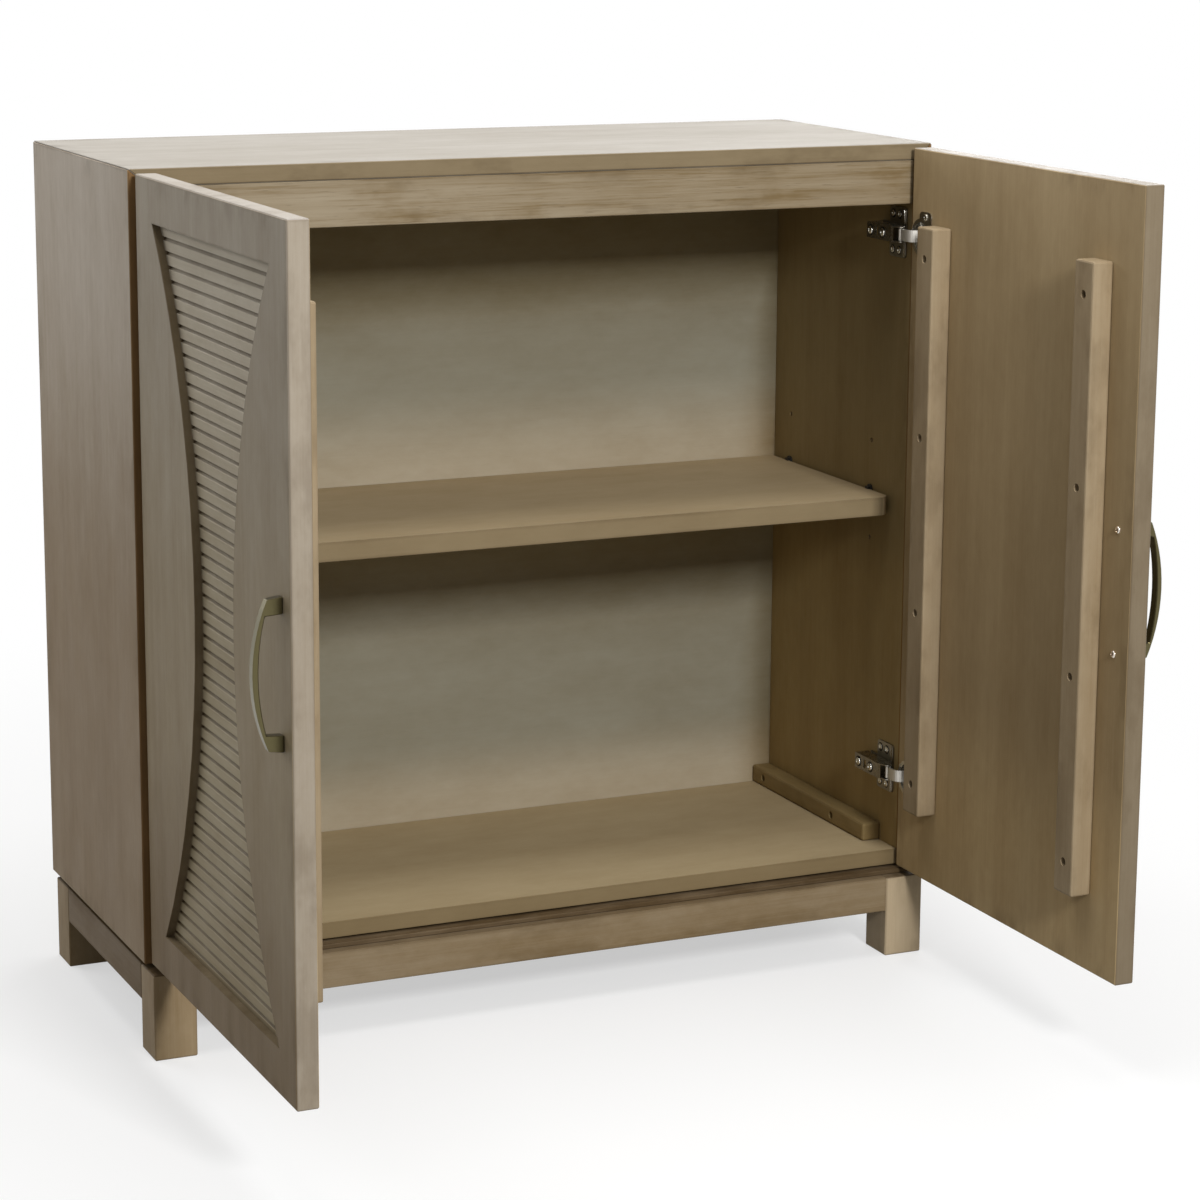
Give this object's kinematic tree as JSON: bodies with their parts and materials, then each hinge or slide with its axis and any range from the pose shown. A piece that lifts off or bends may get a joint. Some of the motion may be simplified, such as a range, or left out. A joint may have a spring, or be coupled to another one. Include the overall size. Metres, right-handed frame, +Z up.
{
  "type": "two-door chest",
  "caption": "Low two-door chest with hourglass reeded door panels, bow pulls, concealed hinges and an adjustable shelf, on a legged base.",
  "frame": {"origin": "on the floor, in the middle of the chest's width and of its depth with both doors open at a right angle, as at rest", "axes": "+X to the right of a viewer in front of the chest, +Y to its back, +Z up"},
  "size_m": [0.963, 0.8235, 0.923],
  "materials": {
    "taupe_wood": "grey-brown wash with faint straight grain, satin",
    "reeded_wood": "same wash, horizontal slats",
    "inner_wood": "same wash, a little browner, satin",
    "dark_steel": "dark nickel plate",
    "pale_steel": "nickel plate",
    "aged_brass": "aged brass, satin",
    "black_plastic": "black, satin"
  },
  "bodies": {
    "case": {"case_side_left": "taupe_wood", "case_side_right": "taupe_wood", "case_top": "taupe_wood", "top_front_rail": "taupe_wood", "reveal_board": "taupe_wood", "leg_front_left": "taupe_wood", "leg_front_right": "taupe_wood", "leg_back_left": "taupe_wood", "leg_back_right": "taupe_wood", "base_rail_front": "taupe_wood", "base_rail_back": "taupe_wood", "base_rail_left": "taupe_wood", "base_rail_right": "taupe_wood", "case_bottom": "inner_wood", "case_back": "inner_wood", "shelf": "inner_wood", "floor_cleat_left": "inner_wood", "floor_cleat_right": "inner_wood", "shelf_clip_left_front": "black_plastic", "shelf_clip_left_rear": "black_plastic", "shelf_clip_right_front": "black_plastic", "shelf_clip_right_rear": "black_plastic", "hinge_plate_left_lower": "dark_steel", "hinge_arm_left_lower": "dark_steel", "hinge_plate_left_upper": "dark_steel", "hinge_arm_left_upper": "dark_steel", "hinge_plate_right_lower": "dark_steel", "hinge_arm_right_lower": "dark_steel", "hinge_plate_right_upper": "dark_steel", "hinge_arm_right_upper": "dark_steel"},
    "left_hinge_links": {"hinge_link_left_lower": "pale_steel", "hinge_link_left_upper": "pale_steel"},
    "left_door": {"door_left": "taupe_wood", "reeded_panel_left": "reeded_wood", "batten_hinge_left": "taupe_wood", "batten_meeting_left": "taupe_wood", "pull_left": "aged_brass", "hinge_cup_left_lower": "pale_steel", "hinge_cup_left_upper": "pale_steel"},
    "right_hinge_links": {"hinge_link_right_lower": "pale_steel", "hinge_link_right_upper": "pale_steel"},
    "right_door": {"door_right": "taupe_wood", "reeded_panel_right": "reeded_wood", "batten_hinge_right": "taupe_wood", "batten_meeting_right": "taupe_wood", "pull_right": "aged_brass", "hinge_cup_right_lower": "pale_steel", "hinge_cup_right_upper": "pale_steel"}
  },
  "joints": [
    {"name": "left_link_turn", "type": "hinge", "parent": "case", "child": "left_hinge_links", "pos_m": [-0.423, 0.05575, 0.516], "axis": [0, 0, -1], "range_deg": [-3.5, 31.5]},
    {"name": "left_door_swing", "type": "hinge", "parent": "left_hinge_links", "child": "left_door", "pos_m": [-0.43599, 0.03314, 0.516], "axis": [0, 0, -1], "range_deg": [-121.5, 13.5]},
    {"name": "right_link_turn", "type": "hinge", "parent": "case", "child": "right_hinge_links", "pos_m": [0.423, 0.05575, 0.516], "axis": [0, 0, 1], "range_deg": [-3.5, 31.5]},
    {"name": "right_door_swing", "type": "hinge", "parent": "right_hinge_links", "child": "right_door", "pos_m": [0.43599, 0.03314, 0.516], "axis": [0, 0, 1], "range_deg": [-121.5, 13.5]}
  ],
  "couplings": [
    {"joint": "left_link_turn", "follows": "left_door_swing", "ratio": -0.25926},
    {"joint": "right_link_turn", "follows": "right_door_swing", "ratio": -0.25926}
  ]
}
